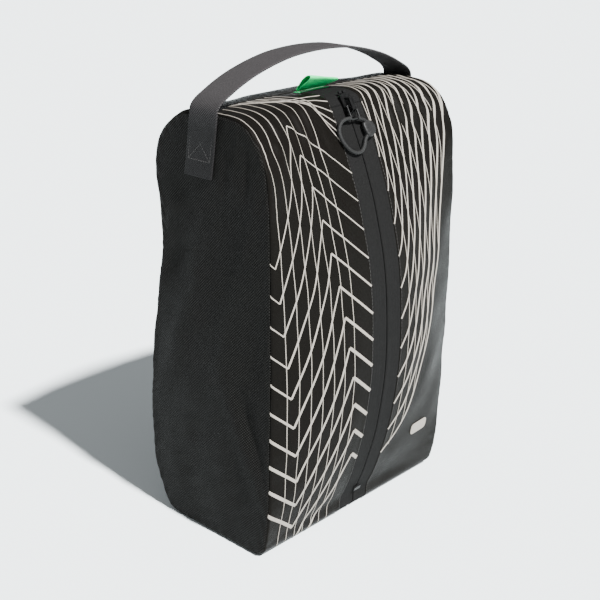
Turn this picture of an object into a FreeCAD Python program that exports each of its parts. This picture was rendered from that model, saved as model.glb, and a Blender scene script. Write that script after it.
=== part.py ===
import FreeCAD, Part
import math
import os

# Shoe bag that stands on its base, in millimetres. +Z is up, the zipped front faces -Y,
# +X is the bag's right as seen from the front. The origin is the bottom centre of its box.

V = FreeCAD.Vector
os.makedirs("parts", exist_ok=True)

# ---- driving dimensions -------------------------------------------------------------
HALF_WIDTH = 110.0          # to the outside of a side panel
SIDE_THICK = 2.4            # side panel, cloth with its backing
SKIN_THICK = 2.0            # front, back and bottom panels
GAP = 0.3                   # room between pieces that aren't sewn face to face

# The zipper follows one circular arc down the swollen front.
ARC_Y, ARC_Z = 282.5, 168.0   # centre of that arc, behind the bag
ARC_R = 370.0                 # outer face of the zipper tape
TAPE_HALF = 17.2              # half of the tape's whole width
TAPE_THICK = 1.0
TAPE_LOW, TAPE_HIGH = 18.0, 360.0     # heights of the tape's two ends
SLOT_HALF = 0.7               # half of the slot that the slider's post runs in
COIL_R = 1.2                  # radius of one coil row
COIL_X = 2.1                  # from the middle to a coil row
COIL_DEPTH = 2.3              # from the tape's outer face to the coil's middle

WEB_WIDTH = 30.0              # carry-handle webbing
WEB_THICK = 1.6
WEB_SHIFT = 8.5               # how far back a sewn end's foot lies from its top
WEB_TOP, WEB_FOOT = 353.0, 306.0
ROOT_X = 85.0                 # where the handle's moving arch meets its roots

SLIDER_Z = 349.0              # height of the slider's middle, zipper closed
SLIDER_LONG, SLIDER_WIDE = 19.0, 12.0
CORD_DIAMETER = 3.0

# Edge outline: the seam between a side panel and the panel that wraps round the bag.
# Middle outline: the same panel at the bag's middle plane. Both are (y, z), front first.
EDGE_FRONT = [(-56.5, 14), (-60.5, 40), (-62.5, 90), (-64.5, 150), (-65.5, 220), (-65.5, 275),
              (-63.5, 312), (-57.5, 333), (-47.5, 346.5), (-34, 353.5), (-16.5, 355.5), (2.5, 356)]
EDGE_BACK = [(2.5, 356), (17, 354.5), (30, 350.5), (43, 342.5), (53, 331), (59.5, 315), (60.5, 297),
             (56, 270), (56.5, 240), (64, 200), (72.5, 157), (78, 110), (79.5, 70), (77, 40),
             (69, 17)]
MIDDLE_FRONT_HEIGHTS = [17, 42, 92, 151, 219, 270, 306, 333, 353]
MIDDLE_TOP = [(-29, 362.6), (-17, 362.8), (2.5, 359)]
MIDDLE_BACK = [(2.5, 359), (19, 358), (35, 354), (50, 345.5), (61, 333), (67.5, 316), (69.5, 297),
               (69, 270), (71, 240), (76, 200), (81.5, 157), (86, 110), (87.2, 70), (83.5, 40),
               (72, 17)]
FULLNESS = 1.8                # how square the swelling is from the middle to the side


def arc_angle(height):
    """The zipper arc's angle above the horizontal at a height, in radians."""
    return math.asin((height - ARC_Z) / ARC_R)


def on_arc(angle, radius=ARC_R):
    return ARC_Y - radius * math.cos(angle), ARC_Z + radius * math.sin(angle)


MIDDLE_FRONT = [on_arc(arc_angle(h)) for h in MIDDLE_FRONT_HEIGHTS] + MIDDLE_TOP


def swelling(x):
    """1 over the zipper, falling to 0 at the side seam."""
    u = max(abs(x) - TAPE_HALF, 0.0) / (HALF_WIDTH - TAPE_HALF)
    return 1 - u ** FULLNESS


def outline_at(x, edge, middle):
    g = swelling(x)
    return [(e[0] + (m[0] - e[0]) * g, e[1] + (m[1] - e[1]) * g) for e, m in zip(edge, middle)]


def inset(points, distance):
    """The outline moved towards the inside of the bag, which lies on its right-hand side."""
    moved = []
    for i, (y, z) in enumerate(points):
        y0, z0 = points[max(i - 1, 0)]
        y1, z1 = points[min(i + 1, len(points) - 1)]
        length = math.hypot(y1 - y0, z1 - z0)
        moved.append((y + distance * (z1 - z0) / length, z - distance * (y1 - y0) / length))
    return moved


def curve(points, x):
    spline = Part.BSplineCurve()
    spline.interpolate([V(x, y, z) for y, z in points])
    return spline.toShape()


def strip_wire(points, thickness, x):
    """A closed outline at x: the curve, the same curve moved inwards, and the two ends."""
    outer, inner = curve(points, x), curve(inset(points, thickness), x)
    ends = [Part.makeLine(outer.Vertexes[k].Point, inner.Vertexes[k].Point) for k in (0, 1)]
    return Part.Wire(Part.__sortEdges__([outer, ends[0], inner, ends[1]]))


def lofted_skin(edge, middle, thickness, stations):
    wires = [strip_wire(outline_at(x, edge, middle), thickness, x) for x in stations]
    return Part.makeLoft(wires, True, False)


def extruded_skin(points, thickness, x0, x1):
    return Part.Face(strip_wire(points, thickness, x0)).extrude(V(x1 - x0, 0, 0))


def mirrored(shape):
    return shape.mirror(V(0, 0, 0), V(1, 0, 0))


def rounded_plate(points, radius, thickness_vector):
    """A flat plate from its corner points, with round corners."""
    wire = Part.makePolygon([V(*p) for p in points] + [V(*points[0])])
    solid = Part.Face(wire).extrude(thickness_vector)
    along = V(*thickness_vector).normalize()
    edges = [e for e in solid.Edges
             if abs(abs((e.Vertexes[1].Point - e.Vertexes[0].Point).normalize().dot(along)) - 1) < 1e-6]
    return solid.makeFillet(radius, edges)


def arc_strip(x0, x1, r0, r1, low, high):
    """A strip of rectangular section that follows the zipper's arc between two heights."""
    top, bottom = arc_angle(high), arc_angle(low)
    corners = [V(x, *on_arc(top, r)) for x, r in ((x0, r0), (x1, r0), (x1, r1), (x0, r1))]
    face = Part.Face(Part.makePolygon(corners + corners[:1]))
    return face.revolve(V(0, ARC_Y, ARC_Z), V(1, 0, 0), math.degrees(top - bottom))


def arc_rod(x, r, radius, low, high):
    """A round rod that follows the zipper's arc between two heights."""
    top, bottom = arc_angle(high), arc_angle(low)
    tangent = V(0, -math.sin(top), -math.cos(top))
    circle = Part.Wire(Part.makeCircle(radius, V(x, *on_arc(top, r)), tangent))
    return Part.Face(circle).revolve(V(0, ARC_Y, ARC_Z), V(1, 0, 0), math.degrees(top - bottom))


def to_slider(shape):
    """Puts a shape drawn flat on the arc's tangent: x across, y up the zipper, z outwards."""
    angle = arc_angle(SLIDER_Z)
    turn = FreeCAD.Rotation(V(1, 0, 0), 90 - math.degrees(angle))
    placed = shape.copy()
    placed.Placement = FreeCAD.Placement(V(0, *on_arc(angle)), turn).multiply(shape.Placement)
    return placed


# ---- the bag's panels ---------------------------------------------------------------
INNER_X = HALF_WIDTH - SIDE_THICK - 0.2      # where the wrapping panels end


def front_panel():
    stations = (TAPE_HALF + 0.2, 48, 78, INNER_X)
    return lofted_skin(EDGE_FRONT, MIDDLE_FRONT, SKIN_THICK, stations)


def back_panel():
    seam_y = 3.0          # clear of the front panels and the zipper's patch
    edge = [(seam_y, EDGE_BACK[0][1])] + EDGE_BACK[1:]
    middle = [(seam_y, MIDDLE_BACK[0][1])] + MIDDLE_BACK[1:]
    stations = (-INNER_X, -60, -TAPE_HALF, TAPE_HALF, 60, INNER_X)
    return lofted_skin(edge, middle, SKIN_THICK, stations)


BASE_FRONT_Y, BASE_BACK_Y = -46.0, 54.0      # the flat part of the base
LIP_FRONT, LIP_BACK = (-56.2, 13.2), (68.2, 15.8)


def base_outline():
    front_lip = [LIP_FRONT, (-54.2, 5.2), (-51, 1.6)]
    back_lip = [(60.5, 2.4), (65.8, 8.2), LIP_BACK]
    return front_lip, back_lip


def bottom_panel():
    """A flat base whose front and back edges turn up to the seams."""
    front_lip, back_lip = base_outline()
    outer = [curve(front_lip + [(BASE_FRONT_Y, 0)], -INNER_X),
             Part.makeLine(V(-INNER_X, BASE_FRONT_Y, 0), V(-INNER_X, BASE_BACK_Y, 0)),
             curve([(BASE_BACK_Y, 0)] + back_lip, -INNER_X)]
    t = SKIN_THICK
    in_front = [(LIP_FRONT[0] + t, LIP_FRONT[1]), (-52.3, 6), (-49.8, 3.6), (BASE_FRONT_Y, t)]
    in_back = [(BASE_BACK_Y, t), (59.4, 4.2), (64, 9.2), (LIP_BACK[0] - t, LIP_BACK[1])]
    inner = [curve(in_front, -INNER_X),
             Part.makeLine(V(-INNER_X, BASE_FRONT_Y, t), V(-INNER_X, BASE_BACK_Y, t)),
             curve(in_back, -INNER_X)]
    ends = [Part.makeLine(V(-INNER_X, *a), V(-INNER_X, *b))
            for a, b in ((LIP_FRONT, in_front[0]), (LIP_BACK, in_back[-1]))]
    wire = Part.Wire(Part.__sortEdges__(outer + inner + ends))
    return Part.Face(wire).extrude(V(2 * INNER_X, 0, 0))


def side_outline(distance, x):
    """The side panel's whole outline, moved inwards by a distance."""
    around = inset(EDGE_FRONT[:-1] + EDGE_BACK, distance)
    start, end = around[0], around[-1]
    front_foot, back_foot = (BASE_FRONT_Y, distance), (BASE_BACK_Y, distance)
    edges = [curve(around, x),
             curve([end, (64 - distance * 0.7, 7 + distance * 0.7), back_foot], x),
             Part.makeLine(V(x, *back_foot), V(x, *front_foot)),
             curve([front_foot, (-54 + distance * 0.7, 5 + distance * 0.7), start], x)]
    return Part.Wire(Part.__sortEdges__(edges))


def side_panel():
    return Part.Face(side_outline(0, HALF_WIDTH - SIDE_THICK)).extrude(V(SIDE_THICK, 0, 0))


def seam_binding():
    """The woven tape that covers the raw edges of the side seam inside the bag."""
    x, wide, deep = INNER_X - 7, 6.6, 1.0
    room = SKIN_THICK + 4 * GAP
    outer, inner = side_outline(room, x), side_outline(room + deep, x)
    ring = Part.Face(outer).extrude(V(wide, 0, 0))
    return ring.cut(Part.Face(inner).extrude(V(wide, 0, 0)))


def base_board():
    """The stiff plate that keeps the base flat, inside on the bottom panel."""
    x, z = INNER_X - 9, SKIN_THICK + GAP
    corners = [(-x, -44, z), (x, -44, z), (x, 52, z), (-x, 52, z)]
    return rounded_plate(corners, 8, V(0, 0, 1.8))


# ---- the zipper ---------------------------------------------------------------------
STOP_HIGH = 360.0       # the top stops' upper ends


def zipper_tape():
    return arc_strip(SLOT_HALF, TAPE_HALF, ARC_R - TAPE_THICK, ARC_R, TAPE_LOW, TAPE_HIGH)


def zipper_coil():
    return arc_rod(COIL_X, ARC_R - COIL_DEPTH, COIL_R, TAPE_LOW + 6, TAPE_HIGH - 3)


def zipper_top_stops():
    """One stop crimped on each tape, just above the closed slider."""
    stop = arc_strip(0.9, 3.9, ARC_R + 0.02, ARC_R + 1.4, STOP_HIGH - 1.8, STOP_HIGH)
    return Part.makeCompound([stop, mirrored(stop)])


def zipper_bottom_stop():
    return arc_strip(-4, 4, ARC_R + 0.02, ARC_R + 1.4, TAPE_LOW + 2, TAPE_LOW + 5.5)


def zipper_top_patch():
    """The plain patch that carries the zipper's end over the bag's front brow."""
    start = on_arc(arc_angle(TAPE_HIGH + 0.9))
    return extruded_skin([start] + MIDDLE_TOP, 1.4, -TAPE_HALF, TAPE_HALF)


# ---- slider and pull, drawn flat: x across, y up the zipper, z out from the tape -----
POST_HALF = 0.35
PLATE_LOW, PLATE_HIGH = 0.5, 2.3          # outer plate, from the tape's face
KEEPER_HIGH, KEEPER_LOW = -4.2, -5.7      # inner plate behind the coils
PIN_Y, PIN_Z = -1.0, 4.5                  # the pull ring's hinge line
PIN_R = 0.9


def tapered_plate(low, high):
    """A plate that is widest at its upper end, as a slider is where the two tapes part."""
    half, wide, narrow = SLIDER_LONG / 2, SLIDER_WIDE / 2, SLIDER_WIDE * 0.36
    corners = [(-narrow, -half, low), (narrow, -half, low), (wide, half, low), (-wide, half, low)]
    return rounded_plate(corners, 2.4, V(0, 0, high - low))


def slider_body():
    """Outer plate and inner keeper, joined by the post that parts the two coil rows."""
    plate, keeper = tapered_plate(PLATE_LOW, PLATE_HIGH), tapered_plate(KEEPER_LOW, KEEPER_HIGH)
    post = Part.makeBox(2 * POST_HALF, 5, PLATE_LOW - KEEPER_HIGH + 1,
                        V(-POST_HALF, SLIDER_LONG / 2 - 6.5, KEEPER_HIGH - 0.5))
    return to_slider(plate.fuse(post).fuse(keeper).removeSplitter())


def slider_bridge():
    """The arched crown that holds the pull ring."""
    half_wide, thick, foot = 2.2, 1.4, 6.5
    top = PIN_Z + PIN_R + 0.4
    a, b = PLATE_HIGH, top + thick
    outer = [V(-half_wide, -foot, a), V(-half_wide, -foot + 1.6, b), V(-half_wide, foot - 1.6, b),
             V(-half_wide, foot, a)]
    inner = [V(-half_wide, foot - 1.8, a), V(-half_wide, foot - 3.0, top),
             V(-half_wide, -foot + 3.0, top), V(-half_wide, -foot + 1.8, a)]
    face = Part.Face(Part.makePolygon(outer + inner + outer[:1]))
    return to_slider(face.extrude(V(2 * half_wide, 0, 0)))


RING_HALF, RING_LONG = 4.6, 10.5


def pull_ring():
    """A four-sided wire ring whose top bar turns under the bridge."""
    low, high = PIN_Y - RING_LONG, PIN_Y
    bars = [Part.makeCylinder(PIN_R, 2 * RING_HALF, V(-RING_HALF, y, PIN_Z), V(1, 0, 0))
            for y in (low, high)]
    legs = [Part.makeCylinder(PIN_R, RING_LONG, V(x, low, PIN_Z), V(0, 1, 0))
            for x in (-RING_HALF, RING_HALF)]
    knuckles = [Part.makeSphere(PIN_R, V(x, y, PIN_Z))
                for x in (-RING_HALF, RING_HALF) for y in (low, high)]
    ring = bars[0]
    for piece in bars[1:] + legs + knuckles:
        ring = ring.fuse(piece)
    return to_slider(ring.removeSplitter())


# The cord's route on the slider's flat: x across, y up the zipper, z out from the tape.
# It leaves the ring's foot on the right, turns inside the grip, and comes back on the left.
CORD_ROUTE = [(2.4, -11.6, 4.7), (7.0, -12.6, 3.6), (12.2, -15.4, 2.9), (15.6, -19.2, 2.7),
              (14.4, -23.4, 2.5), (9.6, -25.2, 2.2), (4.8, -28.4, 1.8), (1.6, -33.6, 1.4),
              (-4.2, -37.4, 1.0), (-11.2, -36.6, 1.0), (-16.8, -32.0, 1.3), (-20.4, -25.8, 1.8),
              (-21.4, -18.8, 2.4), (-18.0, -13.0, 3.1), (-11.6, -9.8, 4.0), (-5.6, -10.6, 4.7)]


def filleted_path(route):
    """Straight runs joined by tangent arcs, each as large as its two runs allow."""
    points = [V(*p) for p in route]
    edges, radii, start = [], [], points[0]
    for before, corner, after in zip(points, points[1:], points[2:]):
        back, ahead = before - corner, after - corner
        shorter = min(back.Length, ahead.Length)
        reach = 0.45 * shorter
        half_turn = (math.pi - back.getAngle(ahead)) / 2
        radius = reach / math.tan(half_turn)
        back.normalize()
        ahead.normalize()
        first, last = corner + back * reach, corner + ahead * reach
        inwards = (back + ahead).normalize()
        middle = corner + inwards * (radius / math.cos(half_turn) - radius)
        edges += [Part.makeLine(start, first), Part.Arc(first, middle, last).toShape()]
        radii.append(radius)
        start = last
    edges.append(Part.makeLine(start, points[-1]))
    return Part.Wire(edges), radii


def pull_cord():
    path, radii = filleted_path(CORD_ROUTE)
    first = V(*CORD_ROUTE[1]) - V(*CORD_ROUTE[0])
    circle = Part.Wire(Part.makeCircle(CORD_DIAMETER / 2, V(*CORD_ROUTE[0]), first))
    tube = path.makePipeShell([circle], True, True)
    section = math.pi * CORD_DIAMETER ** 2 / 4
    print("pull cord: length %.1f mm, volume over section times length %.4f" %
          (path.Length, tube.Volume / (section * path.Length)))
    print("pull cord radii:", " ".join("%.1f" % r for r in radii))
    return to_slider(tube)


def cord_grip():
    """The moulded grip that holds the cord's fold."""
    corners = [(6.5, -16.2, 0.5), (15.6, -15.0, 0.5), (19.0, -20.0, 0.5), (16.4, -26.0, 0.5),
               (8.2, -27.6, 0.5)]
    return to_slider(rounded_plate(corners, 2.2, V(0, 0, 4.4)))


# ---- webbing handle -----------------------------------------------------------------
HANDLE_LINE = [(0, 390.0), (28, 388.6), (50, 384.8), (70, 379.4), (85, 373.8), (96, 368.6),
               (105.6, 363.4), (110.4, 358.6), (111.4, 353.4), (111.4, 348.0)]


def webbing(centre_points):
    """Webbing that follows (x, z) points, its width along Y. The points are its middle."""
    half = WEB_THICK / 2

    def side(sign):
        moved = []
        for i, (x, z) in enumerate(centre_points):
            x0, z0 = centre_points[max(i - 1, 0)]
            x1, z1 = centre_points[min(i + 1, len(centre_points) - 1)]
            length = math.hypot(x1 - x0, z1 - z0)
            moved.append(V(x - sign * half * (z1 - z0) / length, -WEB_WIDTH / 2,
                           z + sign * half * (x1 - x0) / length))
        spline = Part.BSplineCurve()
        spline.interpolate(moved)
        return spline.toShape()

    outer, inner = side(1), side(-1)
    ends = [Part.makeLine(outer.Vertexes[k].Point, inner.Vertexes[k].Point) for k in (0, 1)]
    wire = Part.Wire(Part.__sortEdges__([outer, ends[0], inner, ends[1]]))
    return Part.Face(wire).extrude(V(0, WEB_WIDTH, 0))


def whole_handle():
    return webbing([(-x, z) for x, z in reversed(HANDLE_LINE[1:])] + HANDLE_LINE)


def slab(x0, x1):
    """A block across the whole webbing, to cut it at upright planes."""
    return Part.makeBox(x1 - x0, 2 * WEB_WIDTH, 200, V(x0, -WEB_WIDTH, 300))


def carry_handle():
    return whole_handle().common(slab(GAP / 2 - ROOT_X, ROOT_X - GAP / 2))


def handle_root():
    """The short stretch of webbing that bends and twists when the handle tips over."""
    return whole_handle().common(slab(ROOT_X + GAP / 2, HALF_WIDTH + 20))


SEWN_TOP = WEB_TOP - 6        # where the flat sewn end begins
OUTER_FACE = HALF_WIDTH + 0.05


def sewn_corners(x, margin, foot):
    """Corners of the slanting sewn end, less a margin, on an upright plane at x."""
    def corner(side, z):
        middle = WEB_SHIFT * (WEB_TOP - z) / (WEB_TOP - WEB_FOOT)
        return V(x, middle + side * (WEB_WIDTH / 2 - margin), z)

    low, high = foot + margin, SEWN_TOP - margin
    return [corner(-1, low), corner(1, low), corner(1, high), corner(-1, high)]


def slanting_plate(corners, thickness):
    return Part.Face(Part.makePolygon(corners + corners[:1])).extrude(V(thickness, 0, 0))


def handle_end():
    """The webbing's end, flat on the side panel's outer face."""
    return slanting_plate(sewn_corners(OUTER_FACE, 0, WEB_FOOT), WEB_THICK)


STITCH_MARGIN, STITCH_WIDE, STITCH_HIGH = 3.2, 1.0, 0.45
STITCH_FOOT = WEB_FOOT + 10


def handle_stitching():
    """The sewn box and its cross that hold a handle end, as raised thread."""
    x = OUTER_FACE + WEB_THICK
    outer = sewn_corners(x, STITCH_MARGIN, STITCH_FOOT)
    inner = sewn_corners(x, STITCH_MARGIN + STITCH_WIDE, STITCH_FOOT)
    box = slanting_plate(outer, STITCH_HIGH)
    result = box.cut(slanting_plate(inner, STITCH_HIGH))
    for start, end in ((outer[0], outer[2]), (outer[1], outer[3])):
        across = (end - start).cross(V(1, 0, 0)).normalize() * (STITCH_WIDE / 2)
        bar = slanting_plate([start + across, end + across, end - across, start - across], STITCH_HIGH)
        result = result.fuse(bar.common(box))
    return result.removeSplitter()


def handle_patch():
    """The square of cloth inside the side panel that backs the sewn handle end."""
    x, thick = INNER_X - 1.6, 1.2
    corners = [(x, -16, 300), (x, 30, 300), (x, 24, 340), (x, -20, 340)]
    return rounded_plate(corners, 4, V(thick, 0, 0))


# ---- loop tab and printed mark --------------------------------------------------------
TAB_HALF = 17.0
TAB_FOOT_Z = 361.0        # the top patch's height at the tab's foot
TAB_Y = -3.0              # the tab's foot


def loop_tab_anchor():
    """The tab's sewn foot on the top patch."""
    z = TAB_FOOT_Z
    points = [(TAB_Y - 5, z + 1.9), (TAB_Y, z + 1.1), (TAB_Y + 5, z + 0.1)]
    return extruded_skin(points, 0.7, -TAB_HALF, TAB_HALF)


def tab_section(points, x):
    """A closed face at x: a curve through (y, z) points, shut by a straight foot."""
    loop = [V(x, TAB_Y + y, TAB_FOOT_Z + z) for y, z in points]
    spline = Part.BSplineCurve()
    spline.interpolate(loop)
    return Part.Face(Part.Wire([spline.toShape(), Part.makeLine(loop[-1], loop[0])]))


def loop_tab():
    """A ribbon folded into a small tunnel that leans forward."""
    outside = [(0.9, 2.3), (1.8, 7.2), (-2.8, 13.0), (-8.6, 15.4), (-12.4, 13.8), (-9.6, 9.2),
               (-3.6, 5.2), (-0.9, 2.3)]
    hollow = [(0.1, 3.9), (0.5, 7.0), (-3.5, 12.0), (-8.6, 14.2), (-10.9, 13.3), (-8.8, 10.2),
              (-3.7, 6.7), (-0.9, 4.0)]
    solid = tab_section(outside, -TAB_HALF).extrude(V(2 * TAB_HALF, 0, 0))
    return solid.cut(tab_section(hollow, -TAB_HALF - 1).extrude(V(2 * TAB_HALF + 2, 0, 0)))


MARK_X, MARK_Z = 72.0, 58.0
MARK_WIDE, MARK_HIGH = 24.0, 11.0


def front_mark():
    """A plain rounded badge on the front panel's lower right."""
    def surface(x, z):
        points = outline_at(x, EDGE_FRONT, MIDDLE_FRONT)
        for (y0, z0), (y1, z1) in zip(points, points[1:]):
            if z0 <= z <= z1:
                return y0 + (y1 - y0) * (z - z0) / (z1 - z0)
        return points[0][0]

    y = surface(MARK_X, MARK_Z)
    slope_x = (surface(MARK_X + 10, MARK_Z) - surface(MARK_X - 10, MARK_Z)) / 20
    slope_z = (surface(MARK_X, MARK_Z + 10) - surface(MARK_X, MARK_Z - 10)) / 20
    out = V(slope_x, -1, slope_z).normalize()
    along = V(1, slope_x, 0).normalize()
    up = along.cross(out * -1).normalize() * -1
    if up.z < 0:
        up = up * -1
    centre = V(MARK_X, y, MARK_Z) + out * 0.9
    corners = [centre + along * (sx * MARK_WIDE / 2) + up * (sz * MARK_HIGH / 2)
               for sx, sz in ((-1, -1), (1, -1), (1, 1), (-1, 1))]
    return rounded_plate([tuple(c) for c in corners], 3.5, out * 0.6)


# ---- write every piece ----------------------------------------------------------------
PAIRS = {
    "front_panel": front_panel,
    "side_panel": side_panel,
    "seam_binding": seam_binding,
    "zipper_tape": zipper_tape,
    "zipper_coil": zipper_coil,
    "handle_end": handle_end,
    "handle_stitching": handle_stitching,
    "handle_root": handle_root,
    "handle_patch": handle_patch,
}
SINGLES = {
    "back_panel": back_panel,
    "bottom_panel": bottom_panel,
    "base_board": base_board,
    "zipper_top_stops": zipper_top_stops,
    "zipper_bottom_stop": zipper_bottom_stop,
    "zipper_top_patch": zipper_top_patch,
    "slider_body": slider_body,
    "slider_bridge": slider_bridge,
    "pull_ring": pull_ring,
    "pull_cord": pull_cord,
    "cord_grip": cord_grip,
    "carry_handle": carry_handle,
    "loop_tab_anchor": loop_tab_anchor,
    "loop_tab": loop_tab,
    "front_mark": front_mark,
}


def all_pieces():
    pieces = {}
    for name, make in PAIRS.items():
        shape = make()
        pieces[name + "_right"] = shape
        pieces[name + "_left"] = mirrored(shape)
    for name, make in SINGLES.items():
        pieces[name] = make()
    return pieces


for node, shape in sorted(all_pieces().items()):
    box = shape.BoundBox
    print("%-22s valid %s solids %d volume %9.1f  x %.1f..%.1f y %.1f..%.1f z %.1f..%.1f" %
          (node, shape.isValid(), len(shape.Solids), shape.Volume, box.XMin, box.XMax,
           box.YMin, box.YMax, box.ZMin, box.ZMax))
    shape.exportStep("parts/%s.step" % node)
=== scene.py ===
import math

import bmesh
import bpy
import numpy as np
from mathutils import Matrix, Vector


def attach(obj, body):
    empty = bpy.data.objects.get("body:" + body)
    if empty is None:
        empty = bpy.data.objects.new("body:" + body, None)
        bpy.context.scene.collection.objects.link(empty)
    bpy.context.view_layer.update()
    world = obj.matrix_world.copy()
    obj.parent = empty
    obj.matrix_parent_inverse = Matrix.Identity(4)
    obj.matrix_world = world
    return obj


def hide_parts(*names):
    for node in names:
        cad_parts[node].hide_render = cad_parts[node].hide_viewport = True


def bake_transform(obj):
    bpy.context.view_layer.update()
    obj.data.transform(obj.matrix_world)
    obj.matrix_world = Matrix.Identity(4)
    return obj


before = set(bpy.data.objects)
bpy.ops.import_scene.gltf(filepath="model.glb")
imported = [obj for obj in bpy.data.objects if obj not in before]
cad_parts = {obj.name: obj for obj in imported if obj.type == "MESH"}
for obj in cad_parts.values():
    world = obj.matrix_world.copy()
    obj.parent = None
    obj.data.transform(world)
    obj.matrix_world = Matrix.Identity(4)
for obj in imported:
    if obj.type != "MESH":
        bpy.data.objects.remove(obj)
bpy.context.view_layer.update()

# Looks of the shoe bag. Shapes are worked out in millimetres in the shared frame and
# turned into metres when a mesh is made. The zipped front faces -Y.

MM = 0.001
SIDES = (("left", -1), ("right", 1))

# ---- camera ----
CAMERA_AZIMUTH, CAMERA_ELEVATION = math.radians(-46.54), math.radians(21.01)
CAMERA_DISTANCE = 0.9735
CAMERA_AIM = Vector((-0.0026, 0.0066, 0.1780))
CAMERA_LENS = 69.0


def make_camera():
    data = bpy.data.cameras.new("camera")
    data.lens = CAMERA_LENS
    data.sensor_width = 36.0
    back = Vector((math.sin(CAMERA_AZIMUTH) * math.cos(CAMERA_ELEVATION),
                   -math.cos(CAMERA_AZIMUTH) * math.cos(CAMERA_ELEVATION),
                   math.sin(CAMERA_ELEVATION)))
    camera = bpy.data.objects.new("camera", data)
    camera.location = CAMERA_AIM + back * CAMERA_DISTANCE
    camera.rotation_mode = "QUATERNION"
    camera.rotation_quaternion = (-back).to_track_quat("-Z", "Y")
    bpy.context.collection.objects.link(camera)
    bpy.context.scene.camera = camera


make_camera()

# ---- the bag's outlines, as in the CAD source ----
HALF_WIDTH = 110.0
ARC_Y, ARC_Z, ARC_R = 282.5, 168.0, 370.0
TAPE_HALF = 17.2
SLIDER_Z = 349.0
SLIDER_ANGLE = math.asin((SLIDER_Z - ARC_Z) / ARC_R)
FULLNESS = 1.8
SEAM_R = 3.0                      # rounding of the cloth at the side seam
SEAM_TURN = math.radians(50)      # how far round that corner the wrapping cloth goes

BASE_FRONT = [(4, 0), (-20, 0), (-44, 0.3), (-53, 5)]
EDGE_FRONT = [(-56.5, 14), (-58.8, 27), (-61.0, 48), (-62.5, 90), (-64.5, 150), (-65.5, 220),
              (-65.5, 275), (-63.5, 312), (-57.5, 333), (-47.5, 346.5), (-34, 353.5),
              (-16.5, 355.5), (2.5, 356)]
EDGE_BACK = [(17, 354.5), (30, 350.5), (43, 342.5), (53, 331), (59.5, 315), (60.5, 297),
             (56, 270), (56.5, 240), (64, 200), (72.5, 157), (78, 110), (79.5, 70), (77, 40),
             (69, 17)]
BASE_BACK = [(64, 7), (54, 0.3), (29, 0)]
# The cloth sags a little off the zipper's arc: heights and how far behind the arc it lies.
MIDDLE_FRONT = [(17, 0.6), (29, 0.3), (50, 0.25), (92, 0.15), (151, 0.4), (219, 0), (270, 0),
                (306, 0), (333, 0), (353, 0)]
MIDDLE_TOP = [(-29, 358.0), (-17, 358.6), (2.5, 356.6)]
MIDDLE_BACK = [(19, 355.4), (35, 352.2), (50, 345.5), (61, 333), (67.5, 316), (69.5, 297),
               (69, 270), (71, 240), (76, 200), (81.5, 157), (86, 110), (87.2, 70), (83.5, 40),
               (72, 17)]


def arc_y(z):
    return ARC_Y - math.sqrt(ARC_R ** 2 - (z - ARC_Z) ** 2)


EDGE = np.array(BASE_FRONT + EDGE_FRONT + EDGE_BACK + BASE_BACK, float)
MIDDLE = np.array(BASE_FRONT + [(arc_y(z) + back, z) for z, back in MIDDLE_FRONT] + MIDDLE_TOP
                  + MIDDLE_BACK + BASE_BACK, float)
POINTS = len(EDGE)
TOP_INDEX = len(BASE_FRONT) + len(EDGE_FRONT) - 1


def between(p0, p1, p2, p3, t):
    """The smooth curve from p1 to p2 that also heeds its neighbours p0 and p3."""
    return 0.5 * (2 * p1 + (p2 - p0) * t + (2 * p0 - 5 * p1 + 4 * p2 - p3) * t ** 2
                  + (3 * p1 - p0 - 3 * p2 + p3) * t ** 3)


def round_spline(points, u):
    """A closed smooth curve through the points; u counts points."""
    i = np.floor(u).astype(int)
    return between(*(points[(i + k) % len(points)] for k in (-1, 0, 1, 2)), (u - i)[..., None])


def open_spline(points, u):
    """The same with open ends."""
    points = np.asarray(points, float)
    padded = np.vstack([2 * points[0] - points[1], points, 2 * points[-1] - points[-2]])
    i = np.clip(np.floor(u).astype(int), 0, len(points) - 2)
    return between(*(padded[i + k] for k in (0, 1, 2, 3)), (u - i)[..., None])


def lengths(line):
    """The distance from the first point of a line to each of its points."""
    return np.concatenate([[0], np.cumsum(np.linalg.norm(np.diff(line, axis=0), axis=1))])


def resample(line, run, even):
    return np.stack([np.interp(even, run, line[:, k]) for k in range(line.shape[1])], 1)


def unit(vectors):
    return vectors / np.linalg.norm(vectors, axis=-1, keepdims=True)


def directions(line):
    return unit(np.gradient(line, axis=0))


FINE = np.linspace(0, POINTS, 40 * POINTS + 1)
MIDDLE_LINE = round_spline(MIDDLE, FINE)
RUN = lengths(MIDDLE_LINE)
RUN -= np.interp(2, FINE, RUN)       # v is 0 where the front starts to rise from the floor
AROUND = RUN[-1] - RUN[0]
V_TOP = float(np.interp(TOP_INDEX, FINE, RUN))
V_BACK_LIP = float(np.interp(POINTS - len(BASE_BACK) - 1, FINE, RUN))


def station(v):
    """The outline's own parameter at a distance v along the middle outline."""
    return np.interp(RUN[0] + np.mod(v - RUN[0], AROUND), RUN, FINE)


def swelling(x):
    u = np.clip((np.abs(x) - TAPE_HALF) / (HALF_WIDTH - TAPE_HALF), 0, 1)
    return 1 - u ** FULLNESS


def plain_skin(x, v):
    """Cloth coordinates to a place on the wrapping skin: x across, v round the bag."""
    flat = HALF_WIDTH - SEAM_R
    turn = np.clip((np.abs(x) - flat) / SEAM_R, 0, None)
    across = np.where(np.abs(x) > flat, np.sign(x) * (flat + SEAM_R * np.sin(turn)), x)
    g = swelling(x)[..., None]
    u = station(v)
    step = 0.02
    here, ahead = (round_spline(EDGE, w) * (1 - g) + round_spline(MIDDLE, w) * g
                   for w in (u, u + step))
    along = unit(ahead - here)
    drop = SEAM_R * (1 - np.cos(turn))
    y = here[..., 0] + drop * along[..., 1]
    z = here[..., 1] - drop * along[..., 0]
    return np.stack([across, y, z], -1)


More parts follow.
